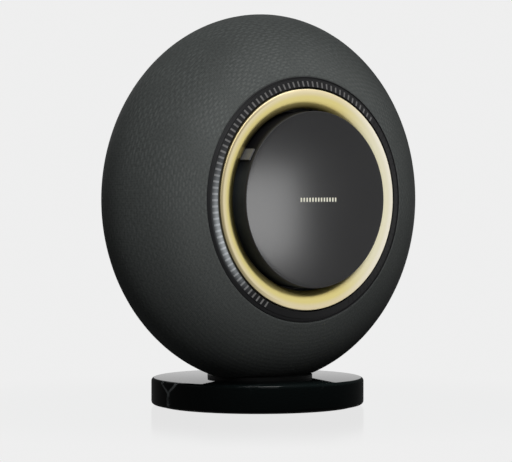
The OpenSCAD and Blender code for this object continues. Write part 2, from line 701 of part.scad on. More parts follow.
module coil(d) turned([[d_coil(d) - 0.25 * d_wall(d), d_neck(d) + 1.2], [d_coil(d), d_neck(d) + 1.2],
    [d_coil(d), 3 - d_depth(d)], [d_coil(d) + 0.3 * d_wall(d), 3 - d_depth(d)],
    [d_coil(d) + 0.3 * d_wall(d), -d_depth(d) - d_plate(d) - 1],
    [d_coil(d) - 0.25 * d_wall(d), -d_depth(d) - d_plate(d) - 1]]);
module surround(d, t) {
    roll = d_roll(d);
    mid_r = d_cone(d) + roll;
    turned(concat([[d_cone(d) - 2.5, d_top(d)], [d_cone(d) - 2.5, d_top(d) + t]],
        [for (i = [0:10]) let (a = 180 - 18 * i)
            [mid_r + (roll + t / 2) * cos(a), d_top(d) + t / 2 + (roll + t / 2) * sin(a)]],
        [[mid_r + roll + 3, d_top(d) + t / 2], [mid_r + roll + 3, d_top(d)]],
        [for (i = [10:-1:0]) let (a = 180 - 18 * i)
            [mid_r + (roll - t / 2) * cos(a), d_top(d) + (roll - t / 2) * sin(a)]]));
}

module woofer_basket() color([0.1, 0.1, 0.1]) woofer_place() difference() {
    basket(woofer);
    for (i = [0:5]) rotate([0, 0, 60 * i]) translate([d_magnet(woofer) + 3, -9, -d_depth(woofer)])
        cube([12, 18, d_depth(woofer)]);
}
module woofer_gasket() color([0.15, 0.15, 0.15]) woofer_place()
    tube(d_flange(woofer), d_wall_r(woofer) + 1, d_gasket(woofer));
module woofer_motor() color([0.35, 0.35, 0.36]) woofer_place() motor(woofer);
module woofer_cone() color([0.12, 0.12, 0.12]) woofer_place() cone(woofer);
module woofer_coil() color([0.7, 0.4, 0.2]) woofer_place() coil(woofer);
module woofer_surround() color([0.06, 0.06, 0.06]) woofer_place() surround(woofer, 0.8);
module woofer_damper() color([0.75, 0.62, 0.35]) woofer_place()
    translate([0, 0, -d_ledge(woofer)])
        tube(d_magnet(woofer) - 5 * d_wall(woofer) / 2 - 0.5, d_coil(woofer), 0.8);

module mid_basket(side) mid_place(side) {
    basket(mid);
    motor(mid);
}
module mid_moving(side) mid_place(side) {
    cone(mid);
    coil(mid);
}
module mid_left_basket() color([0.12, 0.12, 0.12]) mid_basket(-1);
module mid_left_cone() color([0.75, 0.75, 0.77]) mid_moving(-1);
module mid_left_surround() color([0.06, 0.06, 0.06]) mid_place(-1) surround(mid, 0.5);
module mid_right_basket() color([0.12, 0.12, 0.12]) mid_basket(1);
module mid_right_cone() color([0.75, 0.75, 0.77]) mid_moving(1);
module mid_right_surround() color([0.06, 0.06, 0.06]) mid_place(1) surround(mid, 0.5);

module tweeter_body(side) tweeter_place(side) turned([
    [0, -tweeter_body_h], [tweeter_d / 2 - 3.5, -tweeter_body_h],
    [tweeter_d / 2 - 3.5, 0], [tweeter_d / 2, 0], [tweeter_d / 2, 2], [dome_d / 2 + 2, 2],
    [dome_d / 2 + 2, 0.8], [dome_d / 2 + 0.6, 0.8], [dome_d / 2 + 0.6, -5], [dome_d / 2 - 1.1, -5],
    [dome_d / 2 - 1.1, -0.5], [0, -0.5]]);
module tweeter_dome(side) tweeter_place(side) turned(concat(
    [[dome_d / 2, -4], [dome_d / 2, 1]],
    [for (i = [1:8]) let (a = 90 * i / 8) [dome_d / 2 * cos(a), 1 + 4 * sin(a)]],
    [for (i = [8:-1:0]) let (a = 90 * i / 8) [(dome_d / 2 - 0.5) * cos(a), 1 + 3.5 * sin(a)]],
    [[dome_d / 2 - 0.5, -4]]));
module tweeter_surround(side) tweeter_place(side) turned([[dome_d / 2, 0.8], [dome_d / 2, 1.2],
    [dome_d / 2 + 0.6, 1.8], [dome_d / 2 + 1.2, 1.8], [dome_d / 2 + 1.6, 1.2], [dome_d / 2 + 2, 1.2],
    [dome_d / 2 + 2, 0.8], [dome_d / 2 + 1.4, 0.8], [dome_d / 2 + 1, 1.4], [dome_d / 2 + 0.7, 1.4]]);
module tweeter_left_body() color([0.1, 0.1, 0.1]) tweeter_body(-1);
module tweeter_left_dome() color([0.7, 0.65, 0.5]) tweeter_dome(-1);
module tweeter_left_surround() color([0.06, 0.06, 0.06]) tweeter_surround(-1);
module tweeter_right_surround() color([0.06, 0.06, 0.06]) tweeter_surround(1);
module tweeter_right_body() color([0.1, 0.1, 0.1]) tweeter_body(1);
module tweeter_right_dome() color([0.7, 0.65, 0.5]) tweeter_dome(1);

module main_board() color([0.05, 0.3, 0.15]) front_axis()
    translate([0, main_y, chassis_front + spacer_h]) plate(main_size[0], main_size[1], board_t);
module shield_can() color([0.75, 0.76, 0.78]) front_axis()
    translate([0, main_y + can_y, chassis_front + spacer_h + board_t]) difference() {
        plate(can_size[0], can_size[1], can_size[2]);
        translate([0, 0, -1])
            plate(can_size[0] - 2 * can_wall, can_size[1] - 2 * can_wall, can_size[2] + 1 - can_wall);
    }
module aerials() color([0.75, 0.55, 0.2]) front_axis() for (s = [-1, 1])
    translate([s * (chassis_w / 2 - aerial_size[0]), chassis_top - aerial_size[1] / 2 - 4, chassis_front])
        plate(aerial_size[0], aerial_size[1], aerial_size[2]);
module amplifier_board() color([0.05, 0.3, 0.15]) front_axis()
    translate([0, amp_y, chassis_back - spacer_h - board_t]) plate(amp_size[0], amp_size[1], board_t);
module heat_sink() color([0.6, 0.6, 0.62]) front_axis()
    translate([0, amp_y + 2, chassis_back - spacer_h - board_t]) rotate([180, 0, 0]) {
        plate(sink_size[0], sink_size[1], sink_size[2]);
        for (i = [-4:4]) translate([i * fin_pitch, 0, sink_size[2] - 0.5])
            plate(fin_size[0], fin_size[1], fin_size[2]);
    }
module power_board() color([0.3, 0.22, 0.08]) front_axis()
    translate([0, power_y, chassis_back - spacer_h - board_t]) {
        plate(power_size[0], power_size[1], board_t);
        translate([0, 0, -fit]) rotate([180, 0, 0]) {
            translate([transformer_x, parts_y, 0])
                plate(transformer_size[0], transformer_size[1], transformer_size[2]);
            for (i = [0:2]) translate([12 + i * capacitor_pitch, parts_y, 0])
                cylinder(r = capacitor_r, h = capacitor_h);
        }
    }

module rear_grille() color([0.05, 0.05, 0.05]) front_axis() difference() {
    turned(concat(arc(rear_depth, 0, -90, -angle_at(grille_r), 16),
        [[grille_r, -baffle_depth], [grille_r - 2.5, -baffle_depth]],
        arc(rear_depth, grille_t, -angle_at(grille_r - 2.5, grille_t), -90, 16)));
    translate([0, 0, -rear_depth - 1]) for (i = [1:grille_slots]) difference() {
        tube(i * slot_pitch + slot_w / 2, i * slot_pitch - slot_w / 2, slot_deep);
        for (k = [0:3]) rotate([0, 0, 45 * k + 22.5 * (i % 2)]) translate([-grille_r, -2, -1])
            cube([2 * grille_r, 4, rear_depth]);
    }
}

module trim_ring() color([0.5, 0.45, 0.33]) front_axis() turned([
    [well_d / 2, rear_at(well_d / 2, cover_t)], [trim_r - clear, rear_at(trim_r - clear, cover_t)],
    [trim_r - clear, rear_at(trim_r) - trim_proud], [well_d / 2, rear_at(well_d / 2) - trim_proud]]);

// Sockets in the bay: x, height above the bay's middle, width and height outside, then inside.
inlet = [-36.5, -8, 26, 20, 20, 10];
network = [-40, 10.5, 17, 15, 12, 8.5];
video = [-16, 10.5, 18, 8, 14, 4.6];
usb = [8, 10.5, 16, 8, 12.2, 4.7];
optical = [28, 10.5, 11, 11, 6, 6];
jack_x = 46;
jack_d = 3.6;
module socket_body(s) translate([s[0], bay_y + s[1], -bay_floor]) difference() {
    plate(s[2], s[3], socket_depth);
    translate([0, 0, -1]) plate(s[4], s[5], socket_depth - 1);
}
module socket_hole(s) translate([s[0], bay_y + s[1], -bay_floor - 1])
    plate(s[2] + 2 * fit, s[3] + 2 * fit, socket_depth);

module socket_bay() color([0.05, 0.05, 0.05]) front_axis() difference() {
    intersection() {
        body_form(0.3);
        union() {
            translate([0, bay_y, -bay_floor]) plate(bay_w, bay_h, bay_floor_t);
            translate([0, bay_y, -rear_depth]) difference() {
                plate(bay_w, bay_h, rear_depth - bay_in);
                translate([0, 0, -1]) plate(bay_w - 2 * bay_wall, bay_h - 2 * bay_wall, rear_depth + 2);
            }
            for (x = [-1, 1], y = [-1, 1])
                translate([x * (bay_w / 2 - 5), bay_y + y * (bay_h / 2 - 5), -bay_in - 0.5])
                    cylinder(r = 3, h = bay_in + 0.5 - board_back);
        }
    }
    for (s = [inlet, network, video, usb, optical]) socket_hole(s);
    translate([jack_x, bay_y + 10.5, -bay_floor - 1]) cylinder(r = 4 + fit, h = socket_depth);
    for (x = [power_x, pair_x]) translate([x, button_y, -bay_floor - 1])
        cylinder(r = button_d / 2 + 0.1, h = socket_depth);
    translate([mute_x, button_y, -bay_floor - 1]) plate(mute_travel + 5, 4.3, socket_depth);
}
module socket_board() color([0.05, 0.3, 0.15]) front_axis() {
    translate([0, bay_y, -board_back]) plate(bay_w - 6, bay_h - 4, board_t);
    for (x = [power_x, pair_x]) translate([x, button_y, -board_back - switch_h - fit]) plate(6, 6, switch_h);
    translate([mute_x, button_y, -board_back - mute_body_h - fit]) plate(9, 7, mute_body_h);
}
module mains_inlet() color([0.07, 0.07, 0.07]) front_axis() {
    socket_body(inlet);
    for (x = [-1, 1]) translate([inlet[0] + x * 4.3, bay_y + inlet[1], -bay_floor + 5])
        cylinder(r = 1.2, h = socket_depth - 6.5);
}
module signal_sockets() color([0.12, 0.12, 0.13]) front_axis() {
    for (s = [network, video, usb, optical]) socket_body(s);
    translate([jack_x, bay_y + 10.5, -bay_floor]) difference() {
        cylinder(r = 4, h = socket_depth);
        translate([0, 0, -1]) cylinder(r = jack_d / 2, h = socket_depth);
    }
}
module push_button(x) front_axis() translate([x, button_y, 0]) {
    translate([0, 0, -bay_floor - 1]) cylinder(r = button_d / 2, h = bay_floor_t + 1 + end_play + 1);
    translate([0, 0, -bay_in + end_play]) cylinder(r = button_d / 2 + 1, h = 1);
    translate([0, 0, -bay_in + end_play])
        cylinder(r = 2, h = bay_in - end_play - board_back - switch_h - fit - button_travel - 0.1);
}
module power_button() color([0.6, 0.6, 0.62]) push_button(power_x);
module pair_button() color([0.6, 0.6, 0.62]) push_button(pair_x);
module mute_switch() color([0.65, 0.3, 0.1]) front_axis() translate([mute_x - mute_travel / 2, button_y, 0]) {
    translate([0, 0, -bay_floor - 1.5]) plate(4, 4, bay_floor_t + 1.5 + end_play + 0.5);
    translate([0, 0, -bay_in + end_play])
        plate(mute_travel + 8, 6, bay_in - 2 * end_play - board_back - mute_body_h);
}

plinth();
foot_pad();
plinth_screws();
neck_casting();
front_shell();
rear_shell();
knitted_cover();
case_screws();
chassis_plate();
standoffs();
board_spacers();
front_frame();
bezel();
light_guide();
scale_board();
scale_lamps();
volume_ring();
code_ring();
ring_bush();
ring_sensor();
disc_spider();
disc_cup();
disc_glass();
touch_board();
microphones();
centre_lights();
woofer_basket();
woofer_gasket();
woofer_motor();
woofer_cone();
woofer_coil();
woofer_surround();
woofer_damper();
mid_left_basket();
mid_left_cone();
mid_left_surround();
mid_right_basket();
mid_right_cone();
mid_right_surround();
tweeter_left_body();
tweeter_left_dome();
tweeter_left_surround();
tweeter_right_body();
tweeter_right_dome();
tweeter_right_surround();
main_board();
shield_can();
aerials();
amplifier_board();
heat_sink();
power_board();
rear_grille();
trim_ring();
socket_bay();
socket_board();
mains_inlet();
signal_sockets();
power_button();
pair_button();
mute_switch();
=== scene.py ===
"""Free-standing smart speaker: knitted round body, gold ring and glass disc, on a stone plinth."""

import bisect
import json
import math

import bmesh
import bpy
from mathutils import Matrix, Vector

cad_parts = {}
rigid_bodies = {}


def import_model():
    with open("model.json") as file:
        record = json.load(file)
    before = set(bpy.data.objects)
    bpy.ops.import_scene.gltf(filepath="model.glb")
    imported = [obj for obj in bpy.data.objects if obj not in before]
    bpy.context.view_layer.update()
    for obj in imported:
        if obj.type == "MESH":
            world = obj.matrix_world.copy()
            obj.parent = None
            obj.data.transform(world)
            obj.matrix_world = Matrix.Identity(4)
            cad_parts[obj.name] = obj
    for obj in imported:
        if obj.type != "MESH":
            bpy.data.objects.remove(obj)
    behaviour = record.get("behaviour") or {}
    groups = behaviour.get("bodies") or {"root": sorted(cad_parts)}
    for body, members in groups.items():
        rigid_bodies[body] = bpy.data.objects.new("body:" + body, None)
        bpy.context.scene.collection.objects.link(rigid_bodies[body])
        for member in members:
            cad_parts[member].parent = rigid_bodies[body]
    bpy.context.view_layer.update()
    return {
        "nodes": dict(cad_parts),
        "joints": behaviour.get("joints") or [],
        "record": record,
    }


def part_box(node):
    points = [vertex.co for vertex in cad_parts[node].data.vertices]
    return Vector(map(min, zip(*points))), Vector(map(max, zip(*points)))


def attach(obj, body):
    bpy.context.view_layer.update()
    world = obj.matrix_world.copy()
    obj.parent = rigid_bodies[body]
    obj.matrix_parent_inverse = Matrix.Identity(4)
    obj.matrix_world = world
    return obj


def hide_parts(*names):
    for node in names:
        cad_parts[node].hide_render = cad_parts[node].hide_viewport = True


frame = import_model()

MM = 0.001
DEGREES = 180 / math.pi

# Knitted cover
COVER_GAP = 0.2 * MM
COVER_THICKNESS = 1.1 * MM
RIB_PITCH = 4.9 * MM
RIB_HEIGHT = 0.03 * MM
POINTS_PER_RIB = 6
OUTLINE_STEPS = 4000
EDGE_TUCK = 0.7 * MM
EDGE_TUCK_WIDTH = 1.6 * MM
KNIT_COLUMNS = 700.0
KNIT_COURSE = 1.45 * MM
STITCH_ROW = 3.1 * MM
STITCHES_ROUND = 96.0
# Painted shade on the knit: lightest within the first radius from the axis, darkest beyond the second
PAINTED_LIGHT_WITHIN = 126 * MM
PAINTED_SHADE_BEYOND = 178 * MM

# Gold ring
FACE_WIDTH = 19.2 * MM
FACE_FALL = 0.8 * MM
LIP_WIDTH = 12.0 * MM
LIP_FALL = 8.4 * MM
RIM_HEIGHT = 9.4 * MM
RIM_ROUND = 0.8 * MM
LIP_THICKNESS = 1.8 * MM
SKIRT_THICKNESS = 3 * MM
BUSH_WALL = 2 * MM

# Bezel and its level scale; angles are clock angles in degrees
RING_GAP = 1.8 * MM
BEZEL_INSET = 0.6 * MM
TICK_LENGTH = 5.4 * MM
TICK_DEPTH = 1.4 * MM
TICK_PITCH = 3
TICKS_EACH_SIDE = 51
BEZEL_STEPS = 720
GROOVE_DEPTH = 0.7 * MM
LIT_UP_TO = 46.5
# Painted glare: a glossy highlight on the bezel and ticks at the lower left, painted as light that rises
# from the first clock angle, peaks at the second and is gone by the third
GLARE_START = -145.0
GLARE_PEAK = -112.0
GLARE_END = -56.0

# Disc and the small lights in its middle
GLASS_EDGE = 3 * MM
GLASS_ROUND = 0.8 * MM
DOT_COUNT = 13
DOT_PITCH = 3.6 * MM
DOT_WIDTH = 2.0 * MM
DOT_HEIGHT = 4.6 * MM
DOT_DEPTH = 1.0 * MM
DOT_PROUD = 0.12 * MM

# Plinth and its vein
PLINTH_ROUND = 3.5 * MM
VEIN_AT = math.radians(-93)

# Studio: the world's light grows from one strength to the other as its direction rises
BACKDROP = 0.86
WORLD_RISE = (-0.3, 1.0)
WORLD_STRENGTH = (0.03, 0.16)
FLOOR_SIZE = 9.0
FLOOR_PAINT = 0.85
# The floor's mirrored shade, which ends between these squares of the distance in metres
MIRROR_SHARE = 0.09
MIRROR_FADE = (0.03, 0.18)

# Steps round a turned piece
TURNED_STEPS = 192
RING_STEPS = 256

# ---------------------------------------------------------------- places read from the frame


def half_width(node):
    low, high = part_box(node)
    return (high.x - low.x) / 2


ring_joint = next(j for j in frame["joints"] if j["name"] == "volume_ring_turn")
AXIS = Vector(ring_joint["pos_m"])
BODY_R = half_width("knitted_cover")
BEZEL_R = half_width("bezel")
RING_R = half_width("volume_ring")
DISC_R = half_width("disc_cup")
TRIM_R = half_width("trim_ring")
PLINTH_R = half_width("plinth")
BORE_R = RING_R + RING_GAP
VEIN = Vector((math.sin(VEIN_AT), -math.cos(VEIN_AT), 0)) * PLINTH_R


def forward(node):
    """How far a node's front and back lie in front of the body's widest plane."""
    low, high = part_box(node)
    return AXIS.y - low.y, AXIS.y - high.y


def full_depth(reach, radius):
    """Half axis of the outline's ellipse that reaches so far at a radius."""
    return reach / math.sqrt(1 - (radius / BODY_R) ** 2)


FRONT_DEPTH = full_depth(forward("knitted_cover")[0], BEZEL_R + COVER_GAP)
REAR_DEPTH = full_depth(-forward("knitted_cover")[1], TRIM_R + COVER_GAP)


def front_at(radius):
    """How far the body's front lies in front of its widest plane at a radius."""
    return FRONT_DEPTH * math.sqrt(1 - (radius / BODY_R) ** 2)


# ---------------------------------------------------------------- camera

CAMERA_AZIMUTH = math.radians(-37.6)
CAMERA_DISTANCE = 2.43
CAMERA_HEIGHT = 0.2257
CAMERA_PITCH = math.radians(1.165)
CAMERA_YAW = math.radians(0.034)
CAMERA_SENSOR = 36
CAMERA_LENS = 168.75


def make_camera():
    data = bpy.data.cameras.new("camera")
    data.sensor_width = CAMERA_SENSOR
    data.lens = CAMERA_LENS
    camera = bpy.data.objects.new("camera", data)
    camera.location = (
        math.sin(CAMERA_AZIMUTH) * CAMERA_DISTANCE,
        -math.cos(CAMERA_AZIMUTH) * CAMERA_DISTANCE,
        CAMERA_HEIGHT,
    )
    camera.rotation_euler = (math.pi / 2 - CAMERA_PITCH, 0, CAMERA_AZIMUTH + CAMERA_YAW)
    bpy.context.scene.collection.objects.link(camera)
    bpy.context.scene.camera = camera


make_camera()

# ---------------------------------------------------------------- shader arithmetic


class Num:
    """A shader socket that Python arithmetic works on."""

    def __init__(self, graph, socket):
        self.graph = graph
        self.socket = socket

    def math(self, operation, *others):
        return self.graph.node("ShaderNodeMath", self, *others, operation=operation)

    def __add__(self, other):
        return self.math("ADD", other)

    def __radd__(self, other):
        return self.math("ADD", other)

    def __sub__(self, other):
        return self.math("SUBTRACT", other)

    def __rsub__(self, other):
        return self.graph.node("ShaderNodeMath", other, self, operation="SUBTRACT")

    def __mul__(self, other):
        return self.math("MULTIPLY", other)

    def __truediv__(self, other):
        return self.math("DIVIDE", other)

    def __pow__(self, other):
        return self.math("POWER", other)

    def __lt__(self, other):
        return self.math("LESS_THAN", other)

    def __gt__(self, other):
        return self.math("GREATER_THAN", other)

    def __abs__(self):
        return self.math("ABSOLUTE")

    def fraction(self):
        return self.math("FRACT")

    def sine(self):
        return self.math("SINE")

    def cosine(self):
        return self.math("COSINE")

    def between(self, low, high):
        """0 at low and under, 1 at high and over, smooth between them."""
        return self.graph.smooth_range(self, low, high, 0.0, 1.0)


class Nodes:
    """A node tree: node() makes any node, and arithmetic on its results makes Math nodes."""

    def __init__(self, tree):
        self.tree = tree

    def node(self, kind, *values, out=0, **settings):
        made = self.tree.nodes.new(kind)
        for key, value in settings.items():
            setattr(made, key, value)
        for socket, value in zip(made.inputs, values):
            self.fill(socket, value)
        return Num(self, made.outputs[out])

    def fill(self, socket, value):
        if isinstance(value, Num):
            self.tree.links.new(value.socket, socket)
        else:
            socket.default_value = value

    def smooth_range(self, *values):
        return self.node("ShaderNodeMapRange", *values, interpolation_type="SMOOTHSTEP")

    def axes(self, vector):
        split = self.tree.nodes.new("ShaderNodeSeparateXYZ")
        self.fill(split.inputs[0], vector)
        return [Num(self, socket) for socket in split.outputs]

    def shown(self):
        """1 for the camera and in mirrored or transmitted views, 0 for all other light."""
        path = self.tree.nodes.new("ShaderNodeLightPath").outputs
        camera, glossy, through = (
            Num(self, path[name]) for name in ("Is Camera Ray", "Is Glossy Ray", "Is Transmission Ray")
        )
        return camera.math("MAXIMUM", glossy).math("MAXIMUM", through)


class Graph(Nodes):
    """A node material round one Principled shader."""

    def __init__(self, name, **shader):
        self.material = bpy.data.materials.new(name)
        self.material.use_nodes = True
        super().__init__(self.material.node_tree)
        self.shader = self.tree.nodes["Principled BSDF"]
        for socket, value in shader.items():
            self.shader.inputs[socket.replace("_", " ")].default_value = value

    def feed(self, **sockets):
        for socket, value in sockets.items():
            self.fill(self.shader.inputs[socket.replace("_", " ")], value)
        return self.material

    def place(self):
        """Object coordinates, in metres."""
        return self.node("ShaderNodeTexCoord", out=3)

    def vector(self, x, y, z):
        return self.node("ShaderNodeCombineXYZ", x, y, z)

    def noise(self, scale, detail, vector=None, roughness=0.5):
        made = self.tree.nodes.new("ShaderNodeTexNoise")
        self.fill(made.inputs["Vector"], vector or self.place())
        made.inputs["Scale"].default_value = scale
        made.inputs["Detail"].default_value = detail
        made.inputs["Roughness"].default_value = roughness
        return Num(self, made.outputs[0])

    def mix(self, factor, first, second):
        made = self.tree.nodes.new("ShaderNodeMix")
        made.data_type = "RGBA"
        self.fill(made.inputs[0], factor)
        self.fill(made.inputs[6], first)
        self.fill(made.inputs[7], second)
        return Num(self, made.outputs[2])

    def bump(self, height, distance, strength):
        made = self.tree.nodes.new("ShaderNodeBump")
        made.inputs["Strength"].default_value = strength
        made.inputs["Distance"].default_value = distance
        self.fill(made.inputs["Height"], height)
        return Num(self, made.outputs[0])

    def polar(self):
        """Distance from the body's axis in metres, and the clock angle in radians."""
        x, _, z = self.axes(self.place())
        up = z - AXIS.z
        radius = (x * x + up * up) ** 0.5
        return radius, x.math("ARCTAN2", up)

    def turning_marks(self, radius, angle):
        """Fine marks that run round the body's axis, as a lathe leaves them."""
        return self.noise(1.0, 3.0, self.vector(radius * 5200.0, angle * 1.5, 0.0))

    def moulded(self):
        """A moulded surface's slow change from place to place, and its fine grain as a normal."""
        return self.noise(40.0, 2.0), self.bump(self.noise(2600.0, 2.0), 0.05 * MM, 0.5)


def rgb(red, green, blue):
    return (red, green, blue, 1.0)


def grey(level):
    return rgb(level, level, level)


def shade(colour, factor):
    return rgb(*(channel * factor for channel in colour[:3]))


# ---------------------------------------------------------------- materials


def knit():
    """Fine loops in courses round the face, with long stitches set over them like bricks in a wall, and
    painted shade that darkens the knit towards the rim.
    """
    g = Graph("knit", Roughness=0.95, Specular_IOR_Level=0.0, Sheen_Weight=0.05, Sheen_Roughness=0.3)
    u, v, _ = g.axes(g.node("ShaderNodeUVMap", uv_map="knit"))
    across = (u * KNIT_COLUMNS).fraction() - 0.5
    course = v / KNIT_COURSE + abs(across) * 0.9
    loop = (course.fraction() * math.pi).sine() * (1.0 - (across * across) * 3.2)
    row = v / STITCH_ROW
    _, _, z = g.axes(g.place())
    shift = ((row * 0.5).fraction() > 0.5) * 0.5
    drift = g.noise(1.0, 1.0, g.vector(u * 60.0, v * 300.0, 0.0)) * 0.8
    along = (u * STITCHES_ROUND + shift + drift).fraction()
    stitch = (along * math.pi).sine() * (row.fraction() * math.pi).sine()
    # Noise patches where the long stitches show lighter and stand higher, fading out towards the bottom of
    # the body
    stitch_patches = g.noise(26.0, 2.0).between(0.34, 0.62) * z.between(0.08, 0.26)
    speckle = g.noise(1.0, 1.0, g.vector(u * 420.0, v * 520.0, 0.0))
    cloud = g.noise(14.0, 2.0)
    raised = stitch.between(0.35, 0.9) * (0.02 + stitch_patches * 0.18)
    tone = loop * 0.20 + raised + speckle * 0.46 + cloud * 0.14 + 0.03
    radius, _ = g.polar()
    # Painted shade: a lighter copy of the knit colour near the face fades to a darker copy towards the rim
    painted_lit_knit = g.mix(tone, rgb(0.031, 0.034, 0.0332), rgb(0.156, 0.166, 0.161))
    painted_shade_knit = g.mix(tone, rgb(0.019, 0.021, 0.0205), rgb(0.097, 0.104, 0.101))
    colour = g.mix(radius.between(PAINTED_LIGHT_WITHIN, PAINTED_SHADE_BEYOND), painted_lit_knit, painted_shade_knit)
    relief = loop * 0.7 + stitch * (0.15 + stitch_patches * 0.35) + speckle * 0.3
    return g.feed(Base_Color=colour, Normal=g.bump(relief, 0.25 * MM, 0.35))


def stone():
    """Black stone: polished on its flat top, honed down its side, with one pale forked vein."""
    g = Graph("stone", Specular_IOR_Level=0.0, Coat_IOR=1.32, Coat_Roughness=0.05)
    _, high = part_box("plinth")
    x, y, z = g.axes(g.place())
    top = z.between(high.z - 0.35 * MM, high.z - 0.05 * MM)
    around = (x - VEIN.x) * math.cos(VEIN_AT) + (y - VEIN.y) * math.sin(VEIN_AT)
    shake = (g.noise(90.0, 3.0, g.vector(0.0, 0.0, z)) - 0.5) * (4 * MM)
    fork = z.between(high.z - 13 * MM, high.z - 1 * MM) * (12.5 * MM)
    off = abs(abs(around + shake) - fork)
    facing = 1.0 - ((x - VEIN.x) ** 2.0 + (y - VEIN.y) ** 2.0).math("SQRT").between(0.02, 0.03)
    vein = (1.0 - off.between(0.9 * MM, 3.2 * MM)) * facing * g.noise(160.0, 2.0).between(0.2, 0.6)
    wander = g.noise(9.0, 4.0, roughness=0.6)
    thin = 1.0 - (abs(wander - 0.5) / 0.006).between(0.0, 1.0)
    thread = thin * g.noise(22.0, 3.0).between(0.56, 0.68)
    grain = g.noise(900.0, 1.0).between(0.62, 0.8)
    base = g.mix(grain * 0.3, rgb(0.0010, 0.0016, 0.0016), rgb(0.008, 0.009, 0.009))
    colour = g.mix(thread * 0.25, base, rgb(0.05, 0.054, 0.057))
    colour = g.mix(vein, colour, rgb(0.055, 0.060, 0.062))
    return g.feed(Base_Color=colour, Coat_Weight=0.05 + top * 0.75, Roughness=0.6)


def gold():
    """Satin gold: yellow in the roll of the lip, paling to champagne out to the rim, partly the gold's own
    tone and partly painted reflection; one side is painted paler still as a painted reflection.

    On the other side painted shade darkens the roll's inner edge and the outer rim to a dull brown.
    """
    g = Graph("gold")
    radius, angle = g.polar()
    marks = g.turning_marks(radius, angle)
    outward = radius.between(RING_R - FACE_WIDTH, RING_R)
    # Painted reflection: the right-hand side of the ring is painted paler, in champagne
    painted_sheen_side = angle.sine().between(0.3, 0.9)
    roll = g.mix(painted_sheen_side, rgb(0.74, 0.61, 0.22), rgb(0.78, 0.73, 0.50))
    face = g.mix(painted_sheen_side, rgb(0.80, 0.69, 0.28), rgb(0.86, 0.81, 0.60))
    rim = g.mix(painted_sheen_side, rgb(0.80, 0.70, 0.45), rgb(0.92, 0.87, 0.72))
    # Yellow roll to champagne rim: partly the gold's own tone and partly a painted pale reflection on the
    # outer rim
    colour = g.mix(outward.between(0.1, 0.55), roll, face)
    colour = g.mix(outward.between(0.6, 0.95), colour, rim)
    # Painted shade: on the left side the roll's inner edge and the outer rim are painted dark brown
    unshaded_side = angle.sine().between(-0.9, -0.2)
    unshaded_band = outward.between(0.0, 0.24) * (1.0 - outward.between(0.9, 1.0))
    colour = g.mix(unshaded_side.math("MAXIMUM", unshaded_band), rgb(0.28, 0.235, 0.13), colour)
    return g.feed(
        Base_Color=colour,
        Roughness=0.27 + marks * 0.08 + outward.between(0.85, 1.0) * 0.2,
        Metallic=1.0 - unshaded_side * (1.0 - outward.between(0.1, 0.5)) * 0.4,
        Normal=g.bump(marks, 0.01 * MM, 0.5),
    )


def trim_metal():
    g = Graph("trim_metal", Metallic=1.0)
    marks = g.turning_marks(*g.polar())
    colour = g.mix(marks, rgb(0.50, 0.43, 0.22), rgb(0.64, 0.56, 0.30))
    return g.feed(Base_Color=colour, Roughness=0.28 + marks * 0.12)


def glass_black():
    """Black glass with a little dust on it, ground dull at its edge."""
    g = Graph("glass_black", Specular_IOR_Level=0.32)
    smear = g.noise(14.0, 3.0)
    dust = g.noise(1600.0, 1.0).between(0.74, 0.82)
    colour = g.mix(dust, rgb(0.004, 0.004, 0.0045), rgb(0.03, 0.03, 0.03))
    radius, _ = g.polar()
    edge = radius.between(DISC_R - 1.2 * MM, DISC_R)
    roughness = 0.20 + smear.between(0.4, 0.8) * 0.03 + dust * 0.2 + edge * 0.5
    return g.feed(Base_Color=colour, Roughness=roughness)


def black_gloss():
    g = Graph("black_gloss", Specular_IOR_Level=0.12)
    smear = g.noise(60.0, 2.0)
    colour = g.mix(smear, rgb(0.003, 0.003, 0.0035), rgb(0.008, 0.008, 0.009))
    return g.feed(Base_Color=colour, Roughness=0.34 + smear * 0.12)


def disc_side():
    """The disc's side wall: satin grey, with painted shade turning it black across its top."""
    g = Graph("disc_side", Specular_IOR_Level=0.08)
    cloud = g.noise(50.0, 2.0)
    _, angle = g.polar()
    colour = g.mix(cloud, rgb(0.018, 0.0210, 0.024), rgb(0.030, 0.0345, 0.039))
    # Painted shade: the wall is painted near black across its top, where the ring shades it
    colour = g.mix(angle.cosine().between(0.2, 0.5), colour, rgb(0.004, 0.004, 0.005))
    return g.feed(Base_Color=colour, Roughness=0.5 + cloud * 0.1)


def moulding(name, colour, roughness, shine=0.4):
    g = Graph(name, Specular_IOR_Level=shine)
    cloud, grain = g.moulded()
    tint = g.mix(cloud, shade(colour, 0.8), shade(colour, 1.3))
    return g.feed(Base_Color=tint, Roughness=roughness - 0.06 + cloud * 0.12, Normal=grain)


def painted_glare(g):
    """How strongly the painted glare, a painted highlight, lights the bezel and ticks at the lower left.
    """
    _, angle = g.polar()
    turn = angle * DEGREES
    return turn.between(GLARE_START, GLARE_PEAK) * (1.0 - turn.between(GLARE_PEAK, GLARE_END))


def bezel_moulding():
    """Smoked black moulding, with a painted highlight glowing on it by the scale at the lower left."""
    g = Graph("bezel_moulding", Specular_IOR_Level=0.12, Emission_Strength=1.0)
    radius, _ = g.polar()
    # Painted highlight: a band by the bore glows where the painted glare falls
    fall = radius.between(BORE_R + 1.5 * MM, BORE_R + 8 * MM)
    glare_band = radius.between(BORE_R - 1 * MM, BORE_R + 2 * MM) * (1.0 - fall)
    cloud, grain = g.moulded()
    return g.feed(
        Base_Color=g.mix(cloud, rgb(0.006, 0.006, 0.0065), rgb(0.011, 0.011, 0.012)),
        Emission_Color=g.mix(glare_band * painted_glare(g), rgb(0, 0, 0), rgb(0.30, 0.32, 0.33)),
        Roughness=0.44 + cloud * 0.12,
        Normal=grain,
    )


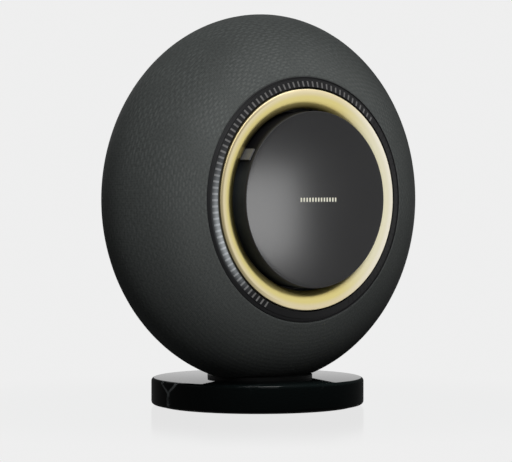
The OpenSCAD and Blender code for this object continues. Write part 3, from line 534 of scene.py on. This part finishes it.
def scale_light():
    """Clear light guides: lit from the scale's start up to the level, and smoked beyond it; within the
    painted glare at the lower left the lit ones are painted brighter.
    """
    g = Graph("scale_light", Roughness=0.4, Emission_Strength=1.0, Specular_IOR_Level=0.1)
    radius, angle = g.polar()
    lit = angle * DEGREES < LIT_UP_TO
    flicker = g.noise(260.0, 1.0)
    dim = g.mix(flicker, rgb(0.062, 0.060, 0.059), rgb(0.14, 0.137, 0.134))
    root = g.mix(flicker, rgb(0.34, 0.36, 0.38), rgb(0.48, 0.51, 0.53))
    # Painted highlight: where the painted glare falls the lit ticks shine brighter, most at their roots
    glare_lit = g.mix(radius.between(RING_R + 4 * MM, RING_R + 8 * MM), root, rgb(0.15, 0.16, 0.165))
    light = g.mix(painted_glare(g), dim, glare_lit)
    return g.feed(
        Base_Color=g.mix(lit, rgb(0.005, 0.005, 0.005), rgb(0.03, 0.03, 0.03)),
        Emission_Color=g.mix(lit, rgb(0, 0, 0), light),
    )


def dot_light():
    g = Graph("dot_light", Roughness=0.3, Emission_Strength=1.0)
    flicker = g.noise(500.0, 1.0)
    colour = g.mix(flicker, rgb(0.38, 0.38, 0.32), rgb(0.60, 0.60, 0.53))
    return g.feed(Base_Color=rgb(0.3, 0.28, 0.2), Emission_Color=colour)


def metal(name, colour, roughness=0.32):
    g = Graph(name, Metallic=1.0)
    x, y, z = g.axes(g.place())
    brushed = g.noise(1.0, 3.0, g.vector(x * 60.0, y * 60.0, z * 4200.0))
    tint = g.mix(brushed, shade(colour, 0.85), shade(colour, 1.1))
    return g.feed(Base_Color=tint, Roughness=roughness - 0.08 + brushed * 0.16)


def rubber():
    g = Graph("rubber", Specular_IOR_Level=0.3)
    grain = g.noise(1800.0, 2.0)
    dusty = g.noise(50.0, 3.0)
    colour = g.mix(dusty, rgb(0.018, 0.018, 0.018), rgb(0.035, 0.035, 0.034))
    return g.feed(Base_Color=colour, Roughness=0.7 + dusty * 0.2, Normal=g.bump(grain, 0.08 * MM, 0.6))


def circuit_board():
    """Green board with pale tracks that wander both ways."""
    g = Graph("circuit_board", Roughness=0.4)
    x, _, z = g.axes(g.place())
    track_a = abs((x * 420.0 + g.noise(60.0, 1.0)).fraction() - 0.5) < 0.12
    track_b = abs((z * 420.0 + g.noise(45.0, 1.0)).fraction() - 0.5) < 0.12
    colour = g.mix(track_a.math("MAXIMUM", track_b), rgb(0.008, 0.06, 0.028), rgb(0.02, 0.11, 0.05))
    return g.feed(Base_Color=colour)


def cloth(name, dark, light):
    g = Graph(name, Roughness=0.85)
    x, _, z = g.axes(g.place())
    weave = (x * 5400.0).sine() * (z * 5400.0).sine() * 0.5 + 0.5
    return g.feed(Base_Color=g.mix(weave, dark, light), Normal=g.bump(weave, 0.1 * MM, 0.6))


def paper_cone():
    g = Graph("paper_cone", Roughness=0.75)
    fibre = g.noise(700.0, 4.0)
    return g.feed(
        Base_Color=g.mix(fibre, rgb(0.012, 0.012, 0.012), rgb(0.05, 0.05, 0.048)),
        Normal=g.bump(fibre, 0.15 * MM, 0.6),
    )


def make_finishes():
    return {
        "knit": knit(),
        "stone": stone(),
        "gold": gold(),
        "trim": trim_metal(),
        "disc_glass": glass_black(),
        "black_gloss": black_gloss(),
        "disc_side": disc_side(),
        "bezel_moulding": bezel_moulding(),
        "neck": moulding("neck", rgb(0.0014, 0.0016, 0.0016), 0.6, 0.05),
        "spoke": moulding("spoke", rgb(0.10, 0.10, 0.10), 0.55),
        "black_plastic": moulding("black_moulding", rgb(0.014, 0.014, 0.015), 0.5),
        "shell_plastic": moulding("shell_moulding", rgb(0.03, 0.03, 0.03), 0.6),
        "bearing_plastic": moulding("pale_moulding", rgb(0.6, 0.6, 0.56), 0.45),
        "switch_orange": moulding("orange_moulding", rgb(0.5, 0.13, 0.02), 0.45),
        "light_guide": scale_light(),
        "dots": dot_light(),
        "steel": metal("plated_steel", rgb(0.55, 0.55, 0.57)),
        "cast_metal": metal("dark_casting", rgb(0.07, 0.07, 0.075), 0.5),
        "brass": metal("turned_brass", rgb(0.7, 0.52, 0.22)),
        "copper": metal("copper_wire", rgb(0.72, 0.36, 0.16)),
        "mid_metal": metal("cone_metal", rgb(0.62, 0.62, 0.64)),
        "button_metal": metal("button_metal", rgb(0.42, 0.42, 0.44), 0.38),
        "rubber": rubber(),
        "circuit_board": circuit_board(),
        "cone_paper": paper_cone(),
        "damper_cloth": cloth("damper_cloth", rgb(0.25, 0.16, 0.06), rgb(0.5, 0.38, 0.18)),
        "dome_silk": cloth("dome_silk", rgb(0.02, 0.02, 0.02), rgb(0.06, 0.055, 0.05)),
    }


FINISHES = make_finishes()
# Nodes whose finish isn't that of their material slot
OWN_FINISH = {
    "trim_ring": "trim",
    "centre_lights": "dots",
    "bezel": "bezel_moulding",
    "neck_casting": "neck",
    "disc_spider": "spoke",
}


def dress_frame():
    """Every carried-over node gets the procedural material of its own finish."""
    for entry in frame["record"]["subparts"]:
        name = entry["node"]
        finish = FINISHES[OWN_FINISH.get(name, entry["material_slot"])]
        mesh = frame["nodes"][name].data
        mesh.materials.clear()
        mesh.materials.append(finish)


dress_frame()

# ---------------------------------------------------------------- making pieces


def finish_piece(bm, name, body, finish, node, smooth_angle):
    """Turns a bmesh into a piece that rides on a body, stands for a node and takes its finish."""
    mesh = bpy.data.meshes.new(name)
    bm.to_mesh(mesh)
    bm.free()
    mesh.materials.append(FINISHES[finish])
    piece = bpy.data.objects.new(name, mesh)
    bpy.context.scene.collection.objects.link(piece)
    mesh.shade_smooth()
    mesh.set_sharp_from_angle(angle=math.radians(smooth_angle))
    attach(piece, body)
    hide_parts(node)


def turned(profile, steps, centre=AXIS, axis=Vector((0, -1, 0)), closed=True):
    """A ring, or a disc if not closed, turned from (radius, distance along the axis) points."""
    bm = bmesh.new()
    verts = [bm.verts.new(centre + Vector((radius, 0, 0)) + axis * along) for radius, along in profile]
    pairs = list(zip(verts, verts[1:]))
    if closed:
        pairs.append((verts[-1], verts[0]))
    edges = [bm.edges.new(pair) for pair in pairs]
    bmesh.ops.spin(
        bm, geom=verts + edges, cent=centre, axis=axis, angle=2 * math.pi, steps=steps, use_merge=True
    )
    bmesh.ops.remove_doubles(bm, verts=bm.verts, dist=1e-6)
    bmesh.ops.recalc_face_normals(bm, faces=bm.faces)
    return bm


# ---------------------------------------------------------------- knitted cover


def cover_profile():
    """The body's outline from the bezel round the widest plane to the rear trim, with its shallow ribs."""
    front = math.acos((BEZEL_R + 0.25 * MM) / BODY_R)
    rear = -math.acos((TRIM_R + 0.1 * MM) / BODY_R)
    length = 0.0
    spots = []
    for i in range(OUTLINE_STEPS + 1):
        t = front + (rear - front) * i / OUTLINE_STEPS
        depth = FRONT_DEPTH if t > 0 else REAR_DEPTH
        point = Vector((BODY_R * math.cos(t), depth * math.sin(t)))
        if spots:
            length += (point - spots[-1][1]).length
        normal = Vector((depth * math.cos(t), BODY_R * math.sin(t))).normalized()
        spots.append((length, point, normal))
    rows = int(length / RIB_PITCH * POINTS_PER_RIB)
    outline = []
    for k in range(rows + 1):
        wanted = length * k / rows
        along, point, normal = min(spots, key=lambda spot: abs(spot[0] - wanted))
        edge = min(along, length - along) / EDGE_TUCK_WIDTH
        tuck = EDGE_TUCK * max(0.0, 1 - edge) ** 2
        lift = RIB_HEIGHT * (math.cos(2 * math.pi * along / RIB_PITCH) - 1) - tuck
        outline.append((tuple(point + normal * lift), along))
    return outline


def lay_stitches(bm, rows):
    """Lays the knit's map on the surface: round the body one way, along its outline the other."""
    lengths = sorted((math.atan2(point[1], point[0]), along) for point, along in rows)
    angles = [angle for angle, _ in lengths]

    def along_outline(radius, ahead):
        angle = math.atan2(ahead, radius)
        after = min(max(bisect.bisect_right(angles, angle), 1), len(angles) - 1)
        a, b = lengths[after - 1], lengths[after]
        t = (angle - a[0]) / (b[0] - a[0])
        return a[1] + (b[1] - a[1]) * t

    uv = bm.loops.layers.uv.new("knit")
    for face in bm.faces:
        middle = face.calc_center_median() - AXIS
        turn = math.atan2(middle.x, middle.z)
        for loop in face.loops:
            place = loop.vert.co - AXIS
            here = math.atan2(place.x, place.z)
            here += round((turn - here) / (2 * math.pi)) * 2 * math.pi
            radius = math.hypot(place.x, place.z)
            loop[uv].uv = (here / (2 * math.pi) + 0.5, along_outline(radius, -place.y))


def cut_below(bm, level):
    """Cuts the closed shell flat at a level and closes the cut."""
    cut = bmesh.ops.bisect_plane(
        bm, geom=bm.verts[:] + bm.edges[:] + bm.faces[:], plane_co=(0, 0, level), plane_no=(0, 0, -1),
        clear_outer=True, dist=1e-7,
    )
    rim = [e for e in cut["geom_cut"] if isinstance(e, bmesh.types.BMEdge)]
    bmesh.ops.holes_fill(bm, edges=rim, sides=0)


def cut_window(bm, low, high):
    """Opens the cloth for the socket bay, and turns its edge in."""
    gap = 0.3 * MM
    reach = 12 * MM
    sides = [
        ((low.x - gap, 0, 0), (1, 0, 0)),
        ((high.x + gap, 0, 0), (-1, 0, 0)),
        ((0, 0, low.z - gap), (0, 0, 1)),
        ((0, 0, high.z + gap), (0, 0, -1)),
    ]

    def behind(point, margin):
        """Whether a point of the cloth lies over the bay or within a margin of it."""
        return (
            point.y > AXIS.y + 20 * MM
            and low.x - margin < point.x < high.x + margin
            and low.z - margin < point.z < high.z + margin
        )

    for place, normal in sides:
        faces = [f for f in bm.faces if behind(f.calc_center_median(), reach)]
        edges = list({e for f in faces for e in f.edges})
        verts = list({v for f in faces for v in f.verts})
        bmesh.ops.bisect_plane(bm, geom=verts + edges + faces, plane_co=place, plane_no=normal, dist=1e-7)
    gone = [f for f in bm.faces if behind(f.calc_center_median(), gap)]
    bmesh.ops.delete(bm, geom=gone, context="FACES")
    rims = [e for e in bm.edges if e.is_boundary]
    bmesh.ops.bridge_loops(bm, edges=rims)


def make_cover():
    rows = cover_profile()
    outer = [point for point, _ in rows]
    inner = [
        (point[0] * (1 - COVER_THICKNESS / BODY_R), point[1] * (1 - COVER_THICKNESS / FRONT_DEPTH))
        for point in outer[::-POINTS_PER_RIB]
    ]
    bm = turned(outer + inner, TURNED_STEPS)
    lay_stitches(bm, rows)
    low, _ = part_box("knitted_cover")
    cut_below(bm, low.z)
    cut_window(bm, *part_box("socket_bay"))
    finish_piece(bm, "knitted_cover_cloth", "speaker", "knit", "knitted_cover", 60)


make_cover()

# ---------------------------------------------------------------- bezel with its level scale


def make_bezel():
    tick_in = BORE_R + BEZEL_INSET
    tick_out = tick_in + TICK_LENGTH
    _, seat = forward("bezel")
    profile = [(BORE_R, seat), (BORE_R, front_at(BORE_R) - 0.35 * MM)]
    profile += [(r, front_at(r)) for r in (BORE_R + 0.35 * MM, tick_in, tick_out, tick_out + 0.6 * MM)]
    profile += [
        (tick_out + 0.9 * MM, front_at(tick_out) - 0.75 * MM - GROOVE_DEPTH / 3),
        (tick_out + 1.2 * MM, front_at(tick_out + 1.2 * MM) - GROOVE_DEPTH),
        (BEZEL_R - 1.1 * MM, front_at(BEZEL_R) - GROOVE_DEPTH / 2),
        (BEZEL_R - 0.8 * MM, front_at(BEZEL_R - 0.8 * MM)),
        (BEZEL_R - 0.3 * MM, front_at(BEZEL_R)),
        (BEZEL_R, front_at(BEZEL_R) - 0.4 * MM),
        (BEZEL_R, seat),
    ]
    bm = turned(profile, BEZEL_STEPS)
    slots = []
    for face in bm.faces:
        middle = face.calc_center_median() - AXIS
        radius = math.hypot(middle.x, middle.z)
        if not tick_in < radius < tick_out or -middle.y < seat + 2 * MM:
            continue
        turn = math.degrees(math.atan2(middle.x, middle.z))
        tick = round(turn / TICK_PITCH)
        if abs(tick) <= TICKS_EACH_SIDE and abs(turn - tick * TICK_PITCH) < 360 / BEZEL_STEPS:
            slots.append(face)
    pocket = bmesh.ops.extrude_face_region(bm, geom=slots)
    bmesh.ops.delete(bm, geom=slots, context="FACES")
    floor = [v for v in pocket["geom"] if isinstance(v, bmesh.types.BMVert)]
    bmesh.ops.translate(bm, verts=floor, vec=(0, TICK_DEPTH, 0))
    finish_piece(bm, "bezel_face", "speaker", "bezel_moulding", "bezel", 30)


make_bezel()

# ---------------------------------------------------------------- gold ring


def make_ring():
    front, back = forward("volume_ring")
    throat = RING_R - FACE_WIDTH
    crest_r = throat + LIP_WIDTH
    rim = front - FACE_FALL
    shoulder = rim - RIM_HEIGHT
    skirt = half_width("ring_bush") - BUSH_WALL
    bottom = front - LIP_FALL - LIP_THICKNESS
    profile = [(throat + 0.5 * MM, bottom), (throat, bottom + 0.4 * MM)]
    for k in range(11):
        a = math.radians(9 * k)
        profile.append((crest_r - LIP_WIDTH * math.cos(a), front - LIP_FALL * (1 - math.sin(a))))
    for k in range(1, 10):
        t = k / 10
        profile.append((crest_r + (RING_R - crest_r) * t, front - FACE_FALL * t * t))
    for k in range(1, 6):
        a = math.radians(18 * k)
        profile.append((RING_R - RIM_ROUND * (1 - math.sin(a)), rim - RIM_ROUND * (1 - math.cos(a))))
    profile += [
        (RING_R, shoulder),
        (skirt, shoulder),
        (skirt, back),
        (skirt - SKIRT_THICKNESS, back),
        (skirt - SKIRT_THICKNESS, shoulder - 1.5 * MM),
        (throat + 2 * MM, bottom),
    ]
    bm = turned(profile, RING_STEPS)
    finish_piece(bm, "volume_ring_face", "volume_ring", "gold", "volume_ring", 40)


make_ring()

# ---------------------------------------------------------------- glass disc and its cup


def make_disc():
    front, back = forward("disc_glass")
    edge = back + GLASS_EDGE
    crown = front - edge
    profile = [(0, back), (DISC_R - 0.3 * MM, back), (DISC_R, back + 0.3 * MM)]
    for k in range(6):
        a = math.radians(90 * k / 5)
        profile.append((DISC_R - GLASS_ROUND * (1 - math.cos(a)), edge - GLASS_ROUND * (1 - math.sin(a))))
    for i in range(1, 25):
        r = (DISC_R - GLASS_ROUND) * (1 - i / 24)
        profile.append((r, edge + crown * (1 - (r / DISC_R) ** 2)))
    bm = turned(profile, TURNED_STEPS, closed=False)
    finish_piece(bm, "disc_face", "speaker", "disc_glass", "disc_glass", 40)


def make_cup():
    front, back = forward("disc_cup")
    rim = [(DISC_R, front - 0.3 * MM), (DISC_R - 0.4 * MM, front)]
    bm = turned([(0, back), (DISC_R, back), *rim, (0, front)], TURNED_STEPS, closed=False)
    finish_piece(bm, "disc_side", "speaker", "disc_side", "disc_cup", 30)


def make_dots():
    """A row of small upright lights that stand a hair proud of the glass."""
    front, back = forward("disc_glass")
    crown = front - back - GLASS_EDGE
    bm = bmesh.new()
    for i in range(DOT_COUNT):
        x = (i - (DOT_COUNT - 1) / 2) * DOT_PITCH
        top = front - crown * (x / DISC_R) ** 2 + DOT_PROUD
        place = Matrix.Translation((AXIS.x + x, AXIS.y - top + DOT_DEPTH / 2, AXIS.z))
        made = bmesh.ops.create_cone(
            bm, cap_ends=True, segments=20, radius1=DOT_WIDTH * 0.5, radius2=DOT_WIDTH * 0.43,
            depth=DOT_DEPTH, matrix=place @ Matrix.Rotation(math.pi / 2, 4, "X"),
        )
        # Each round light is drawn out in height.
        for vert in made["verts"]:
            vert.co.z += math.copysign((DOT_HEIGHT - DOT_WIDTH) / 2, vert.co.z - AXIS.z)
    finish_piece(bm, "centre_dots", "speaker", "dots", "centre_lights", 30)


make_disc()
make_cup()
make_dots()

# ---------------------------------------------------------------- plinth


def make_plinth():
    low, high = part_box("plinth")
    flat = PLINTH_R - PLINTH_ROUND
    outline = [(0, low.z), (flat, low.z)]
    for corner, start in ((low.z + PLINTH_ROUND, -90), (high.z - PLINTH_ROUND, 0)):
        for k in range(9):
            a = math.radians(start + 90 * k / 8)
            outline.append((flat + PLINTH_ROUND * math.cos(a), corner + PLINTH_ROUND * math.sin(a)))
    outline.append((0, high.z))
    bm = turned(outline, TURNED_STEPS, Vector((0, 0, 0)), Vector((0, 0, 1)), closed=False)
    finish_piece(bm, "plinth_stone", "speaker", "stone", "plinth", 40)


make_plinth()

# ---------------------------------------------------------------- light, floor and backdrop


def mix_shaders(g, factor, first, second):
    """Mixes two shader outputs and gives the mixed one."""
    mix = g.tree.nodes.new("ShaderNodeMixShader")
    g.fill(mix.inputs[0], factor)
    g.tree.links.new(first, mix.inputs[1])
    g.tree.links.new(second, mix.inputs[2])
    return mix.outputs[0]


def make_world():
    """White to the eye and in reflections, and a soft graded light on everything else."""
    world = bpy.data.worlds.new("studio")
    world.use_nodes = True
    bpy.context.scene.world = world
    g = Nodes(world.node_tree)
    backdrop = g.tree.nodes["Background"]
    backdrop.inputs[0].default_value = grey(BACKDROP)
    backdrop.inputs[1].default_value = 1.0
    _, _, rise = g.axes(g.node("ShaderNodeTexCoord"))
    strength = g.smooth_range(rise, *WORLD_RISE, *WORLD_STRENGTH)
    light = g.node("ShaderNodeBackground", grey(1.0), strength)
    both = mix_shaders(g, g.shown(), light.socket, backdrop.outputs[0])
    g.tree.links.new(both, g.tree.nodes["World Output"].inputs[0])


def make_floor():
    """As pale as the backdrop to the eye, with a faint mirrored shade round the plinth.

    For all other light it is plain pale paint.
    """
    bm = bmesh.new()
    bmesh.ops.create_grid(bm, x_segments=1, y_segments=1, size=FLOOR_SIZE)
    mesh = bpy.data.meshes.new("floor")
    bm.to_mesh(mesh)
    bm.free()
    floor = bpy.data.objects.new("floor", mesh)
    bpy.context.scene.collection.objects.link(floor)
    g = Graph("floor_paint", Roughness=1.0, Specular_IOR_Level=0.0)
    x, y, _ = g.axes(g.place())
    far = (x * x + y * y).between(*MIRROR_FADE)
    shown = g.shown()
    g.feed(Base_Color=g.mix(shown, grey(FLOOR_PAINT), grey(0.8)))
    glow = g.node("ShaderNodeEmission", grey(BACKDROP))
    mirror = g.node("ShaderNodeBsdfGlossy", rgb(0.97, 1.0, 0.99), 0.12)
    polished = mix_shaders(g, MIRROR_SHARE - far * MIRROR_SHARE, glow.socket, mirror.socket)
    paint = mix_shaders(g, shown * (0.98 + far * 0.02), g.shader.outputs[0], polished)
    g.tree.links.new(paint, g.tree.nodes["Material Output"].inputs[0])
    mesh.materials.append(g.material)


def make_lamp(name, azimuth, rise, distance, size, power, only=None):
    """A soft lamp aimed at the body, at an azimuth that is 0 straight in front and grows to the right.

    It lights the one named piece, or everything but the floor.
    """
    turn, up = math.radians(azimuth), math.radians(rise)
    way = Vector((math.sin(turn) * math.cos(up), -math.cos(turn) * math.cos(up), math.sin(up)))
    data = bpy.data.lights.new(name, "AREA")
    data.shape = "RECTANGLE"
    data.size, data.size_y = size
    data.energy = power
    lamp = bpy.data.objects.new(name, data)
    lamp.location = Vector((0, 0, AXIS.z)) + way * distance
    lamp.rotation_euler = way.to_track_quat("Z", "Y").to_euler()
    lamp.visible_camera = False
    bpy.context.scene.collection.objects.link(lamp)
    lit = bpy.data.collections.new(name + "_on")
    lit.objects.link(bpy.data.objects[only or "floor"])
    if not only:
        lit.collection_objects[0].light_linking.link_state = "EXCLUDE"
    lamp.light_linking.receiver_collection = lit


make_world()
make_floor()
make_lamp("key_softbox", -24, 35.5, 2.1, (0.7, 0.7), 32)
make_lamp("left_softbox", -112, 24, 2.1, (0.9, 0.9), 2.8)
make_lamp("right_softbox", 62, 26, 2.1, (0.9, 0.9), 0.8)
make_lamp("top_softbox", 40, 74, 2.1, (1.0, 1.0), 11)
make_lamp("rear_softbox", 168, 38, 2.1, (0.9, 0.9), 16)
make_lamp("disc_softbox", 19, -7, 1.2, (0.56, 0.48), 7.8, only="disc_face")
make_lamp("edge_softbox", -37, 80, 1.2, (0.7, 0.5), 110, only="plinth_stone")

bpy.context.scene.view_settings.view_transform = "Standard"
